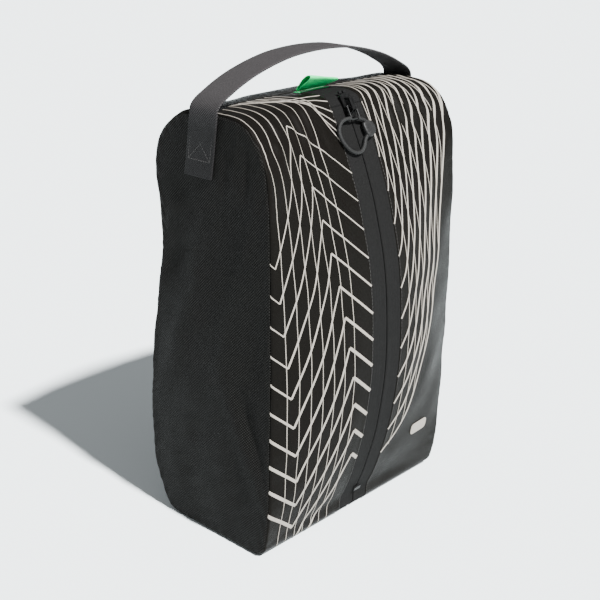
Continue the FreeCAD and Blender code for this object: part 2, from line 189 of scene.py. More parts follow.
def smooth(t):
    t = np.clip(t, 0, 1)
    return t * t * (3 - 2 * t)


def crease(p, q, a, b, width, height):
    """A soft ridge (or hollow, if height is negative) along the line a to b, fading at its ends."""
    dx, dy = b[0] - a[0], b[1] - a[1]
    along = ((p - a[0]) * dx + (q - a[1]) * dy) / (dx * dx + dy * dy)
    off = ((p - a[0]) * dy - (q - a[1]) * dx) / math.hypot(dx, dy)
    fade = np.sin(np.pi * np.clip(along, 0, 1)) ** 0.8
    return height * fade * np.exp(-(off / width) ** 2)


def ripple(p, q, seed, size):
    """Gentle uneven waves, about 1 high, made of a few turned sines."""
    total = np.zeros(np.broadcast(p, q).shape)
    for k in range(5):
        turn = seed * 1.7 + k * 2.4
        wave = 2 * math.pi / (size * (0.7 + 0.23 * k))
        bend = 0.9 * np.sin(wave * 0.45 * (p * math.sin(turn) - q * math.cos(turn)) + seed)
        along = p * math.cos(turn) + q * math.sin(turn)
        total += np.sin(wave * along + bend + seed * k) / (1 + k)
    return total / 1.6


def wrap_folds(x, v):
    """How far the wrapping skin stands off its plain shape."""
    seam = HALF_WIDTH - np.abs(x)
    from_tape = np.abs(x) - TAPE_HALF
    calm = smooth((from_tape - 4) / 22)
    height = plain_skin(x, v)[..., 2]
    off_floor = smooth((height - 2) / 14)
    waves = 0.55 * ripple(x, v, 1.3, 64) * calm
    brow = np.exp(-((v - 352) / 26) ** 2) * calm
    puckers = 1.15 * brow * ripple(x, v * 0.40, 2.1, 15)
    pucker = 0.16 * ripple(v, x * 0.2, 4.0, 13) * np.exp(-((seam - 5) / 5) ** 2)
    edge = -0.55 * np.exp(-(np.clip(seam + 0.6, 0, None) / 1.1) ** 2)
    return off_floor * (waves + puckers + pucker) + edge


def skin(x, v, lift=0.0):
    x, v = np.broadcast_arrays(np.asarray(x, float), np.asarray(v, float))
    here = plain_skin(x, v)
    side = plain_skin(x + 0.4, v) - plain_skin(x - 0.4, v)
    up = plain_skin(x, v + 0.4) - plain_skin(x, v - 0.4)
    normal = unit(np.cross(side, up))
    stand = np.asarray(wrap_folds(x, v) + lift)[..., None]
    return here + normal * stand


# ---- mesh helpers ----
def new_object(name, vertices, faces, uv=None, smooth_faces=True):
    """A mesh object from points in millimetres; uv is one pair for each point, in millimetres."""
    mesh = bpy.data.meshes.new(name)
    mesh.from_pydata([tuple(p) for p in np.asarray(vertices, float) * MM], [], faces)
    if uv is not None:
        layer = mesh.uv_layers.new(name="weave")
        index = np.zeros(len(mesh.loops), int)
        mesh.loops.foreach_get("vertex_index", index)
        layer.data.foreach_set("uv", (np.asarray(uv, float)[index] * MM).ravel())
    mesh.polygons.foreach_set("use_smooth", [smooth_faces] * len(mesh.polygons))
    mesh.update()
    made = bpy.data.objects.new(name, mesh)
    bpy.context.collection.objects.link(made)
    return made


def grid_faces(rows, columns, flip=False):
    faces = []
    for r in range(rows - 1):
        for c in range(columns - 1):
            a = r * columns + c
            quad = (a, a + 1, a + columns + 1, a + columns)
            faces.append(quad[::-1] if flip else quad)
    return faces


def grid_object(name, points, uv, flip=False):
    rows, columns = points.shape[:2]
    return new_object(name, points.reshape(-1, 3), grid_faces(rows, columns, flip),
                      uv.reshape(-1, 2))


def ring_faces(rows, count, start=0):
    """The faces of a tube made of rows of closed rings."""
    return [(start + r * count + k, start + r * count + (k + 1) % count,
             start + (r + 1) * count + (k + 1) % count, start + (r + 1) * count + k)
            for r in range(rows - 1) for k in range(count)]


def end_faces(rows, count, start=0):
    last = start + (rows - 1) * count
    return [tuple(range(start, start + count))[::-1], tuple(range(last, last + count))]


def mend(made, weld=None, hole_sides=None):
    """Welds close points, fills holes up to a size, and turns all faces outwards."""
    mesh = bmesh.new()
    mesh.from_mesh(made.data)
    if weld:
        bmesh.ops.remove_doubles(mesh, verts=mesh.verts, dist=weld)
    if hole_sides:
        bmesh.ops.holes_fill(mesh, edges=[e for e in mesh.edges if e.is_boundary],
                             sides=hole_sides)
    bmesh.ops.recalc_face_normals(mesh, faces=mesh.faces)
    mesh.to_mesh(made.data)
    mesh.free()
    return made


def cloth_patch(name, x, v, lift, thickness):
    """A thickened patch of the wrapping skin; lift is a number or a function of x."""
    grid_x, grid_v = np.meshgrid(x, v)
    points = skin(grid_x, grid_v, lift(grid_x) if callable(lift) else lift)
    return thicken(grid_object(name, points, np.stack([grid_x, grid_v], -1)), thickness)


def thicken(made, thickness):
    shell = made.modifiers.new("thickness", "SOLIDIFY")
    shell.thickness = thickness * MM
    shell.offset = -1.0
    shell.use_even_offset = False
    return made


def subdivide(made, levels=1):
    modifier = made.modifiers.new("round", "SUBSURF")
    modifier.levels = levels
    modifier.render_levels = levels
    return made


def finish_piece(made, body, slot, material, *nodes):
    made.data.materials.clear()
    made.data.materials.append(material)
    if body:
        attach(made, body)
    if nodes:
        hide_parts(*nodes)
    return made


# ---- materials ----
class Shader:
    """A small helper that builds one procedural material."""

    def __init__(self, name, colour, roughness):
        self.material = bpy.data.materials.new(name)
        self.material.use_nodes = True
        self.tree = self.material.node_tree
        self.surface = self.tree.nodes["Principled BSDF"]
        self.surface.inputs["Base Color"].default_value = (*colour, 1)
        self.surface.inputs["Roughness"].default_value = roughness
        self.material.diffuse_color = (*colour, 1)

    def set(self, **values):
        for key, value in values.items():
            self.surface.inputs[key.replace("_", " ")].default_value = value
        return self

    def node(self, kind, **settings):
        made = self.tree.nodes.new("ShaderNode" + kind)
        for key, value in settings.items():
            setattr(made, key, value)
        return made

    def link(self, value, socket):
        if isinstance(value, (int, float)):
            socket.default_value = value
        elif isinstance(value, tuple):
            socket.default_value = value
        else:
            self.tree.links.new(value, socket)

    def math(self, operation, a, b=0.0, c=0.0):
        made = self.node("Math", operation=operation)
        for value, socket in zip((a, b, c), made.inputs):
            self.link(value, socket)
        return made.outputs[0]

    def mix(self, share, low, high):
        """Colours low and high mixed by share."""
        made = self.node("Mix", data_type="RGBA")
        self.link(share, made.inputs[0])
        self.link((*low, 1) if isinstance(low, tuple) else low, made.inputs[6])
        self.link((*high, 1) if isinstance(high, tuple) else high, made.inputs[7])
        return made.outputs[2]

    def cloth_axes(self):
        """The cloth's own two directions, in millimetres."""
        uv = self.node("UVMap", uv_map="weave")
        parts = self.node("SeparateXYZ")
        self.link(uv.outputs[0], parts.inputs[0])
        return [self.math("MULTIPLY", parts.outputs[k], 1000.0) for k in (0, 1)]

    def noise(self, size, detail=3.0, roughness=0.55, source="Object"):
        """Noise whose blotches are about size millimetres."""
        place = self.node("TexCoord")
        made = self.node("TexNoise")
        self.link(place.outputs[source], made.inputs["Vector"])
        made.inputs["Scale"].default_value = 1.0 / (size * MM)
        made.inputs["Detail"].default_value = detail
        made.inputs["Roughness"].default_value = roughness
        return made.outputs["Fac"]

    def wave(self, axis, pitch, shift=0.0):
        """A sine of the given pitch along an axis, from 0 to 1."""
        angle = self.math("MULTIPLY_ADD", axis, 2 * math.pi / pitch, shift)
        return self.math("MULTIPLY_ADD", self.math("SINE", angle), 0.5, 0.5)

    def bump(self, height, distance, strength=1.0, below=None):
        made = self.node("Bump")
        made.inputs["Strength"].default_value = strength
        made.inputs["Distance"].default_value = distance * MM
        self.link(height, made.inputs["Height"])
        if below is not None:
            self.link(below, made.inputs["Normal"])
        return made.outputs["Normal"]

    def spread(self, value, low, high):
        """Maps 0..1 to low..high."""
        return self.math("MULTIPLY_ADD", value, high - low, low)

    def into(self, name, value):
        self.link(value, self.surface.inputs[name])
        return self


def side_cloth():
    """Dark dobby cloth: rows of small raised figures that catch the light."""
    s = Shader("side_cloth", (0.028, 0.028, 0.028), 0.55)
    across, along = s.cloth_axes()
    pitch = 2.3
    figure = s.math("MULTIPLY", s.wave(across, pitch), s.wave(along, pitch))
    other = s.math("MULTIPLY", s.wave(across, pitch, math.pi), s.wave(along, pitch, math.pi))
    dots = s.math("POWER", s.math("MAXIMUM", figure, other), 1.6)
    yarn = s.math("MULTIPLY", s.wave(across, 0.55), s.wave(along, 0.55))
    patches = s.noise(38, 4)
    grain = s.noise(2.2, 2)
    tone = s.math("MULTIPLY", dots, s.spread(grain, 0.2, 1.25))
    s.into("Base Color", s.mix(tone, (0.0022, 0.0021, 0.0019), (0.022, 0.0215, 0.0204)))
    s.into("Roughness", s.math("ADD", s.spread(patches, 0.36, 0.56),
                               s.spread(dots, 0.0, -0.12)))
    height = s.math("ADD", dots, s.math("MULTIPLY", yarn, 0.25))
    first = s.bump(s.noise(9, 3), 0.5, 0.35)
    s.into("Normal", s.bump(height, 0.26, 1.0, first))
    s.set(Sheen_Weight=0.002, Sheen_Roughness=0.4, Specular_IOR_Level=0.012)
    return s.material


def print_cloth():
    """Smooth plain-woven cloth, a little warmer, with a satin shine."""
    s = Shader("print_cloth", (0.032, 0.030, 0.027), 0.5)
    across, along = s.cloth_axes()
    weave = s.math("MULTIPLY", s.wave(across, 0.9), s.wave(along, 0.9, 0.7))
    patches = s.noise(30, 4)
    grain = s.noise(1.4, 2)
    tone = s.math("MULTIPLY", weave, s.spread(grain, 0.3, 1.2))
    s.into("Base Color", s.mix(tone, (0.0028, 0.0025, 0.0021), (0.0085, 0.0076, 0.0065)))
    s.into("Roughness", s.math("ADD", s.spread(patches, 0.18, 0.50), s.spread(weave, 0.05, -0.05)))
    first = s.bump(s.noise(7, 3), 0.4, 0.3)
    s.into("Normal", s.bump(weave, 0.10, 0.9, first))
    s.set(Sheen_Weight=0.002, Sheen_Roughness=0.35, Specular_IOR_Level=0.018)
    return s.material


def band_cloth():
    """Flat charcoal zipper tape: a herringbone with a fine speckle."""
    s = Shader("zipper_tape", (0.028, 0.028, 0.028), 0.8)
    across, along = s.cloth_axes()
    fold = s.math("PINGPONG", across, 1.6)
    chevron = s.wave(s.math("ADD", along, fold), 1.1)
    speckle = s.noise(0.8, 1)
    patches = s.noise(14, 3)
    tone = s.math("MULTIPLY", s.spread(chevron, 0.5, 1.0), s.spread(speckle, 0.0, 1.5))
    s.into("Base Color", s.mix(tone, (0.0024, 0.0024, 0.0024), (0.0100, 0.0099, 0.0097)))
    s.into("Roughness", s.spread(patches, 0.72, 0.9))
    s.into("Normal", s.bump(s.math("ADD", chevron, speckle), 0.12, 0.8))
    s.set(Sheen_Weight=0.004, Sheen_Roughness=0.6, Specular_IOR_Level=0.02)
    return s.material


RIB_PITCH = 2.1              # of the webbing's diagonal twill, measured along the webbing


def webbing_cloth():
    """Grey-brown twill webbing: diagonal ribs with yarns across them."""
    s = Shader("webbing", (0.075, 0.068, 0.070), 0.7)
    across, along = s.cloth_axes()
    rib = s.math("POWER", s.wave(s.math("ADD", across, along), RIB_PITCH), 1.3)
    yarn = s.wave(s.math("SUBTRACT", along, across), 0.8)
    grain = s.noise(1.0, 2)
    wear = s.noise(22, 4)
    tone = s.math("MULTIPLY", rib, s.spread(grain, 0.35, 1.2))
    # Painted shade: the webbing's colour darkens with height below 368 mm, down to its sewn ends
    place = s.node("SeparateXYZ")
    s.link(s.node("TexCoord").outputs["Object"], place.inputs[0])
    shade = s.math("MULTIPLY_ADD", place.outputs[2], 1 / 0.030, -0.338 / 0.030)
    shade = s.math("MINIMUM", s.math("MAXIMUM", shade, 0.16), 1.0)      # painted shade: darker low down, towards its sewn ends
    s.into("Base Color", s.mix(s.math("MULTIPLY", tone, shade), (0.0055, 0.0052, 0.0053),
                               (0.060, 0.0555, 0.057)))
    s.into("Roughness", s.spread(wear, 0.58, 0.8))
    s.into("Normal", s.bump(s.math("ADD", rib, s.math("MULTIPLY", yarn, 0.35)), 0.22, 0.8))
    s.set(Sheen_Weight=0.02, Sheen_Roughness=0.5, Specular_IOR_Level=0.07)
    return s.material


def ribbon_satin():
    """Bright green satin ribbon with fine cross ribs."""
    s = Shader("tab_ribbon", (0.006, 0.55, 0.11), 0.36)
    across, along = s.cloth_axes()
    rib = s.wave(along, 0.7)
    yarn = s.wave(across, 0.5)
    shade = s.noise(8, 3)
    s.into("Base Color", s.mix(s.math("MULTIPLY", rib, s.spread(shade, 0.6, 1.2)),
                               (0.004, 0.50, 0.125), (0.020, 0.86, 0.26)))
    s.into("Roughness", s.spread(shade, 0.28, 0.46))
    s.into("Normal", s.bump(s.math("ADD", rib, s.math("MULTIPLY", yarn, 0.3)), 0.06, 0.7))
    s.set(Sheen_Weight=0.03, Sheen_Roughness=0.3, Specular_IOR_Level=0.15, Anisotropic=0.3)
    return s.material


def ink():
    """Matt screen-printed ink with a faint weave and worn speckles."""
    s = Shader("print_ink", (0.58, 0.54, 0.48), 0.6)
    grain = s.noise(0.9, 2)
    patches = s.noise(12, 3)
    worn = s.math("MULTIPLY", grain, patches)
    s.into("Base Color", s.mix(s.spread(worn, 0.2, 1.6), (0.195, 0.176, 0.152),
                               (0.275, 0.252, 0.222)))
    s.into("Roughness", s.spread(patches, 0.5, 0.7))
    s.into("Normal", s.bump(grain, 0.05, 0.6))
    s.set(Specular_IOR_Level=0.1)
    return s.material


def thread(name, colour):
    s = Shader(name, colour, 0.6)
    grain = s.noise(0.5, 2)
    dark, light = (tuple(c * k for c in colour) for k in (0.6, 1.5))
    s.into("Base Color", s.mix(grain, dark, light))
    s.into("Normal", s.bump(grain, 0.08, 0.8))
    s.set(Sheen_Weight=0.01, Specular_IOR_Level=0.08)
    return s.material


def braided_cord():
    """Near-black braid: yarns that cross in two directions round the cord."""
    s = Shader("pull_cord", (0.015, 0.015, 0.015), 0.55)
    across, along = s.cloth_axes()
    one = s.wave(s.math("ADD", along, across), 1.15)
    two = s.wave(s.math("SUBTRACT", along, across), 1.15)
    braid = s.math("MAXIMUM", one, two)
    grain = s.noise(0.6, 2)
    s.into("Base Color", s.mix(s.math("MULTIPLY", braid, grain), (0.003, 0.003, 0.003),
                               (0.022, 0.022, 0.0215)))
    s.into("Roughness", s.spread(grain, 0.42, 0.68))
    s.into("Normal", s.bump(braid, 0.12, 0.7))
    s.set(Sheen_Weight=0.01, Specular_IOR_Level=0.12)
    return s.material


def moulded_rubber():
    s = Shader("grip", (0.018, 0.018, 0.018), 0.5)
    grain = s.noise(0.45, 3)
    patches = s.noise(6, 3)
    s.into("Base Color", s.mix(patches, (0.005, 0.005, 0.005), (0.012, 0.012, 0.0118)))
    s.into("Roughness", s.spread(patches, 0.4, 0.58))
    s.into("Normal", s.bump(grain, 0.05, 0.6))
    s.set(Specular_IOR_Level=0.18)
    return s.material


def lacquered_metal():
    """Black lacquered zinc, a little brighter where the lacquer is rubbed."""
    s = Shader("zipper_metal", (0.02, 0.02, 0.02), 0.3)
    grain = s.noise(0.8, 3)
    rubbed = s.noise(3.5, 4)
    share = s.math("POWER", rubbed, 4.0)
    s.into("Base Color", s.mix(share, (0.007, 0.007, 0.007), (0.055, 0.055, 0.054)))
    s.into("Roughness", s.spread(rubbed, 0.22, 0.42))
    s.into("Normal", s.bump(grain, 0.03, 0.4))
    s.set(Metallic=0.7, Specular_IOR_Level=0.3, Coat_Weight=0.08, Coat_Roughness=0.2)
    return s.material


def inner_finish(name, colour, roughness, pitch):
    """Plain woven or grained finish for the pieces inside the bag."""
    s = Shader(name, colour, roughness)
    weave, grain = s.noise(pitch, 2), s.noise(14, 3)
    dark, light = (tuple(c * k for c in colour) for k in (0.6, 1.5))
    s.into("Base Color", s.mix(weave, dark, light))
    s.into("Roughness", s.spread(grain, roughness - 0.1, roughness + 0.1))
    s.into("Normal", s.bump(weave, 0.1, 0.6))
    s.set(Specular_IOR_Level=0.06)
    return s.material


SIDE, PRINTED, BAND = side_cloth(), print_cloth(), band_cloth()
WEBBING, RIBBON, INK = webbing_cloth(), ribbon_satin(), ink()
THREAD = thread("thread", (0.030, 0.029, 0.028))
CORD, RUBBER, METAL = braided_cord(), moulded_rubber(), lacquered_metal()
COIL = inner_finish("zipper_coil", (0.006, 0.006, 0.006), 0.4, 0.9)

# ---- the pull cord ----
CORD_DIAMETER = 3.0
CORD_ROUTE = [(2.4, -11.6, 4.7), (7.0, -12.6, 3.6), (12.2, -15.4, 2.9), (15.6, -19.2, 2.7),
              (14.4, -23.4, 2.5), (9.6, -25.2, 2.2), (4.8, -28.4, 1.8), (1.6, -33.6, 1.4),
              (-4.2, -37.4, 1.0), (-11.2, -36.6, 1.0), (-16.8, -32.0, 1.3), (-20.4, -25.8, 1.8),
              (-21.4, -18.8, 2.4), (-18.0, -13.0, 3.1), (-11.6, -9.8, 4.0), (-5.6, -10.6, 4.7)]


def on_slider(point):
    """Slider's flat (x across, y up the zipper, z out) to the bag's frame, in millimetres."""
    x, y, z = point
    c, s = math.cos(SLIDER_ANGLE), math.sin(SLIDER_ANGLE)
    return np.array([x, ARC_Y - ARC_R * c + s * y - c * z, SLIDER_Z + c * y + s * z])


def route_curve():
    data = bpy.data.curves.new("cord_route", "CURVE")
    data.dimensions = "3D"
    data.resolution_u = 24
    spline = data.splines.new("NURBS")
    spline.points.add(len(CORD_ROUTE) - 1)
    for point, place in zip(spline.points, CORD_ROUTE):
        point.co = (*(on_slider(place) * MM), 1)
    spline.order_u = 3
    spline.use_endpoint_u = True
    return bpy.data.objects.new("cord_route", data)


def centre_line(route):
    """Evenly spaced points read from the NURBS line, in millimetres."""
    bpy.context.collection.objects.link(route)
    bpy.context.view_layer.update()
    mesh = bpy.data.meshes.new_from_object(route)
    line = np.array([v.co[:] for v in mesh.vertices]) / MM
    run = lengths(line)
    even = np.linspace(0, run[-1], int(run[-1] / 0.35) + 1)
    bpy.data.objects.remove(route)
    return resample(line, run, even), even


def tube(name, line, run, radius_at, sides=20):
    """A tube round a line; radius_at(run, angle) gives its surface."""
    tangent = directions(line)
    up = np.array([0.0, 0.0, 1.0])
    points, uv = [], []
    for p, t, r in zip(line, tangent, run):
        up = up - t * (up @ t)
        up /= np.linalg.norm(up)
        side = np.cross(t, up)
        for k in range(sides + 1):
            angle = 2 * math.pi * k / sides
            radius = radius_at(r, angle)
            points.append(p + radius * (math.cos(angle) * side + math.sin(angle) * up))
            uv.append((CORD_DIAMETER * angle / 2, r))
    made = new_object(name, points, grid_faces(len(line), sides + 1), uv)
    return mend(made, weld=1e-6, hole_sides=sides + 2)


def braid(run, angle):
    """Radius of a cord braided from crossing yarns."""
    turns = 4 * angle
    lay = 2 * math.pi * run / 2.6
    one, two = math.cos(turns + lay), math.cos(turns - lay)
    return CORD_DIAMETER / 2 - 0.10 + 0.10 * max(one, two)


def make_cord():
    line, run = centre_line(route_curve())
    made = tube("pull_cord_braid", line, run, braid)
    return finish_piece(made, "pull", "pull_cord", CORD, "pull_cord"), line, run


cord, cord_line, cord_run = make_cord()

GRIP_CORNERS = [(6.5, -16.2), (15.6, -15.0), (19.0, -20.0), (16.4, -26.0), (8.2, -27.6)]
GRIP_LOW, GRIP_HIGH = 0.5, 4.9
GRIP_SHRINK = 0.955
GRIP_GROOVES, GROOVE_DEPTH, GROOVE_WIDTH = (18.5, 21.3, 24.1), 0.30, 0.55


def make_grip():
    """The moulded grip: a crowned five-sided body with three shallow grooves."""
    corners = np.array(GRIP_CORNERS)
    centre = corners.mean(0)
    count, rings = 60, 9
    outline = round_spline(corners, np.arange(count) / count * len(corners))
    outline = centre + (outline - centre) * GRIP_SHRINK
    points, faces = [], []
    middle, half = (GRIP_LOW + GRIP_HIGH) / 2, (GRIP_HIGH - GRIP_LOW) / 2
    for sign in (1, -1):
        for ring in range(rings + 1):
            angle = math.pi / 2 * ring / rings
            spread = math.sin(angle) ** 0.55
            for p in outline:
                flat = centre + (p - centre) * spread
                height = half * math.cos(angle) ** 0.45 if ring < rings else 0.0
                groove = sum(GROOVE_DEPTH * math.exp(-((flat[1] + at) / GROOVE_WIDTH) ** 2)
                             for at in GRIP_GROOVES)
                height = max(height - groove * (1 - spread ** 6), 0.0)
                points.append(on_slider((flat[0], flat[1], middle + sign * height)))
    for layer in range(2):
        faces += ring_faces(rings + 1, count, layer * (rings + 1) * count)
    made = mend(new_object("cord_grip_moulded", points, faces), weld=1e-5)
    return finish_piece(made, "pull", "grip", RUBBER, "cord_grip")


grip = make_grip()

# ---- the bag's panels ----
X_EDGE = HALF_WIDTH - SEAM_R + SEAM_R * SEAM_TURN
LIP_X = 16.8                 # the front panel's folded edge, over the zipper tape
V_BASE = -6.0                # where the front turns under the bag
SKIN = 1.2


def spaced(low, high, step):
    return np.linspace(low, high, max(int(round((high - low) / step)) + 1, 2))


def front_columns():
    lip = [LIP_X, LIP_X + 0.25, LIP_X + 0.8, LIP_X + 1.6]
    middle = spaced(LIP_X + 3.2, HALF_WIDTH - 9, 2.4)
    seam = spaced(HALF_WIDTH - 7.5, X_EDGE, 0.9)
    return np.concatenate([lip, middle, seam])


def lip_lift(x):
    """The front cloth lies over the tape: a small step that rounds down at the lip."""
    from_lip = np.abs(x) - LIP_X
    return 0.22 * smooth(1 - from_lip / 6) - 0.45 * np.exp(-(from_lip / 0.35) ** 2)


def front_panel(sign, name, node):
    x = sign * front_columns()[::sign]
    made = cloth_patch(name, x, spaced(V_BASE, V_TOP, 2.2), lip_lift, SKIN)
    subdivide(made)
    return finish_piece(made, "bag", "print_cloth", PRINTED, node)


def whole_columns(seam_step, step):
    """Columns right across the bag, closer together at both side seams."""
    seam = spaced(HALF_WIDTH - 7.5, X_EDGE, seam_step)
    return np.concatenate([-seam[::-1], spaced(-HALF_WIDTH + 9, HALF_WIDTH - 9, step), seam])


def back_panel():
    v = spaced(V_TOP, V_BACK_LIP + 8, 2.4)
    made = cloth_patch("back_shell", whole_columns(0.9, 2.6), v, 0.0, SKIN)
    subdivide(made)
    return finish_piece(made, "bag", "print_cloth", PRINTED, "back_panel")


def bottom_panel():
    v = spaced(V_BACK_LIP + 8, AROUND + V_BASE, 3)
    grid_x, grid_v = np.meshgrid(whole_columns(1.5, 5), v)
    points = skin(grid_x, grid_v)
    points[..., 2] = np.maximum(points[..., 2], 0.0)
    made = grid_object("base_shell", points, np.stack([grid_x, grid_v], -1))
    thicken(made, SKIN)
    return finish_piece(made, "bag", "print_cloth", PRINTED, "bottom_panel")


def side_boundary():
    """The closed outline at the side, where the wrapping cloth's seam meets the side cloth."""
    u = np.linspace(0, POINTS, 16 * POINTS + 1)
    line = round_spline(EDGE, u)
    ahead = unit(round_spline(EDGE, u + 0.02) - line)
    drop = SEAM_R * (1 - math.cos(SEAM_TURN))
    return u, line + drop * np.stack([ahead[:, 1], -ahead[:, 0]], 1)


SIDE_U, SIDE_LINE = side_boundary()


def side_corner(u):
    return np.stack([np.interp(u, SIDE_U, SIDE_LINE[:, k]) for k in (0, 1)], -1)


def distance_to_edge(p):
    flat = p.reshape(-1, 2)
    best = np.full(len(flat), 1e9)
    for chunk in np.array_split(SIDE_LINE, 8):
        d = np.hypot(flat[:, None, 0] - chunk[None, :, 0], flat[:, None, 1] - chunk[None, :, 1])
        best = np.minimum(best, d.min(1))
    return best.reshape(p.shape[:-1])


# Folds of the side cloth: the two ends as (y, z), the width, and the height out or in.
SIDE_CREASES = [((-58, 40), (-8, 170), 9, 1.8), ((-60, 70), (-28, 150), 6, -1.6),
                ((74, 90), (8, 230), 11, 1.6), ((60, 210), (14, 262), 8, -1.7),
                ((56, 255), (20, 290), 7, 1.5), ((-60, 318), (-30, 236), 7, 1.3),
                ((-46, 338), (-40, 296), 3.2, -1.3), ((-36, 346), (-26, 306), 3.4, 1.1),
                ((-22, 330), (-18, 296), 3.0, -0.9)]


def side_folds(y, z, edge, seed):
    """How far the side cloth stands out: soft bellies, folds and gathers."""
    inside = smooth(edge / 34)
    near_handle = np.exp(-((y - 4) / 26) ** 2 - ((z - 332) / 34) ** 2)
    belly = 4.2 * smooth(edge / 55) * np.exp(-((z - 120) / 120) ** 2)
    waves = 1.25 * ripple(y, z * 0.75, seed, 78) * inside
    small = 0.35 * ripple(y, z, seed + 2.0, 27) * inside
    total = belly + waves + small
    for start, stop, width, height in SIDE_CREASES:
        total += crease(y, z, start, stop, width, height)
    total *= 1 - 0.96 * near_handle
    return total


def gathers(edge, run):
    """Small puckers that the seam pulls into the cloth."""
    return 0.32 * np.sin(run * 2 * math.pi / 9.0) * np.exp(-(edge / 7) ** 2) * smooth(edge / 1.0)


def side_surface(y, z, seed):
    """Distance of the side cloth's outer face from the middle plane."""
    p = np.stack([np.asarray(y, float), np.asarray(z, float)], -1)
    edge = distance_to_edge(p)
    start = SEAM_R * (1 - math.cos(SEAM_TURN))
    deep = np.clip(edge + start, 0, SEAM_R)
    rounding = HALF_WIDTH - SEAM_R + np.sqrt(np.maximum(SEAM_R ** 2 - (SEAM_R - deep) ** 2, 0))
    run = np.arctan2(p[..., 1] - 180, p[..., 0]) * 150
    groove = -0.5 * np.exp(-(edge / 1.0) ** 2)
    return rounding + side_folds(p[..., 0], p[..., 1], edge, seed) * smooth(edge / 12) \
        + gathers(edge, run) + groove


def side_grid(columns, rows):
    """A four-cornered patch inside the side outline."""
    first = len(BASE_FRONT)
    brow_front, brow_back = first + 8.5, first + len(EDGE_FRONT) + 4.0
    foot_back = first + len(EDGE_FRONT) + len(EDGE_BACK) - 0.5
    foot_front = first - 0.5
    a, b = np.linspace(0, 1, columns), np.linspace(0, 1, rows)
    bottom = side_corner(np.mod(foot_back + (foot_front + POINTS - foot_back) * (1 - a), POINTS))
    top = side_corner(brow_front + (brow_back - brow_front) * a)
    front = side_corner(foot_front + (brow_front - foot_front) * b)
    back = side_corner(foot_back + (brow_back - foot_back) * b)
    a, b = a[None, :, None], b[:, None, None]
    patch = (1 - b) * bottom[None] + b * top[None] + (1 - a) * front[:, None] + a * back[:, None]
    patch -= (1 - a) * (1 - b) * bottom[0] + a * (1 - b) * bottom[-1]
    patch -= (1 - a) * b * top[0] + a * b * top[-1]
    return patch


def side_panel(sign, name, node, seed):
    flat = side_grid(76, 168)
    x = side_surface(flat[..., 0], flat[..., 1], seed)
    points = np.stack([sign * x, flat[..., 0], flat[..., 1]], -1)
    made = grid_object(name, points, flat, flip=sign < 0)
    thicken(made, SKIN)
    subdivide(made)
    return finish_piece(made, "bag", "side_cloth", SIDE, node)


for side, sign in SIDES:
    front_panel(sign, "front_cloth_" + side, "front_panel_" + side)
back_panel()
bottom_panel()
side_panel(-1, "side_cloth_left", "side_panel_left", 0.4)
side_panel(1, "side_cloth_right", "side_panel_right", 2.9)

# ---- printed lines ----
# Cloth coordinates again: a is the distance from the middle, v goes up the front.
LINE_END = HALF_WIDTH + 0.4          # the print runs to the fold at the side seam
LINE_START = LIP_X + 0.9             # and stops at the front cloth's folded lip
V_PRINT_TOP = V_TOP - 1.5


def even_line(points, step=2.0):
    """A smooth line through (a, v) points, evenly stepped, kept inside the printed field."""
    dense = open_spline(points, np.linspace(0, len(points) - 1, 60 * (len(points) - 1) + 1))
    inside = (dense[:, 0] > LINE_START) & (dense[:, 0] < LINE_END) & (dense[:, 1] < V_PRINT_TOP)
    if not inside.any():
        return None
    first = int(np.argmax(inside))
    stop = first + int(np.argmin(inside[first:])) if not inside[first:].all() else len(dense)
    dense = dense[first:stop]
    if len(dense) < 3:
        return None
    run = lengths(dense)
    if run[-1] < 2 * step:
        return None
    return resample(dense, run, np.linspace(0, run[-1], int(run[-1] / step) + 2))


class Print:
    """Collects thin strips of ink on one half of the front."""

    def __init__(self, sign):
        self.sign = sign
        self.places, self.lifts, self.faces, self.count = [], [], [], 0

    def line(self, points, width, lift):
        """One strip; width is a number or a function of v."""
        centre = even_line(points)
        if centre is None:
            return
        along = directions(centre)
        half = (width(centre[:, 1]) if callable(width) else np.full(len(centre), width)) / 2
        across = np.stack([-along[:, 1], along[:, 0]], 1) * half[:, None]
        rim = 0.82
        side = lift * 0.6
        ring = [(-1, -0.12), (-1, side), (-rim, lift), (rim, lift), (1, side), (1, -0.12)]
        block = np.stack([centre + across * share for share, _ in ring], 1)
        size, rows = len(ring), len(centre)
        self.places.append(block.reshape(-1, 2))
        self.lifts.append(np.tile([height for _, height in ring], rows))
        self.faces += ring_faces(rows, size, self.count) + end_faces(rows, size, self.count)
        self.count += rows * size

    def build(self, name):
        places, lifts = np.concatenate(self.places), np.concatenate(self.lifts)
        x = self.sign * np.clip(places[:, 0], 0, X_EDGE)
        points = skin(x, places[:, 1], lifts + lip_lift(x))
        made = mend(new_object(name, points, self.faces, places, smooth_faces=False))
        return finish_piece(made, "bag", "print_ink", INK)


def growing(top, bottom):
    """A line weight that grows down the front."""
    return lambda v: top + (bottom - top) * smooth((335 - v) / 230)


# A generic field of lines. Left half: evenly stacked zigzags. Each row has a peak, an arm
# down to the zipper, a long line to a foot near the side seam, and an arm up to the seam.
ROWS, ROW_PITCH = 12, 26.0
PEAK_X, PEAK_V = 72.0, 366.0         # the top row's peak
PEAK_SHIFT, FOOT_SHIFT = 46.0, 34.0  # how far peaks and feet move inwards down the front
FOOT_X, FOOT_DROP = 106.0, 108.0     # the top row's foot, and its drop below the peak
ARM_SLOPE = 0.9
UPRIGHTS, UPRIGHT_X, UPRIGHT_PITCH, UPRIGHT_LEAN = 7, 34.0, 10.0, 14.0
FAN_LINES, FAN_V, FAN_PITCH = 6, 338.0, 9.0
PRINT_LOW, PRINT_HIGH = 10.0, 412.0
SHARES = (0.0, 0.08, 0.25, 0.5, 0.75, 1.0)


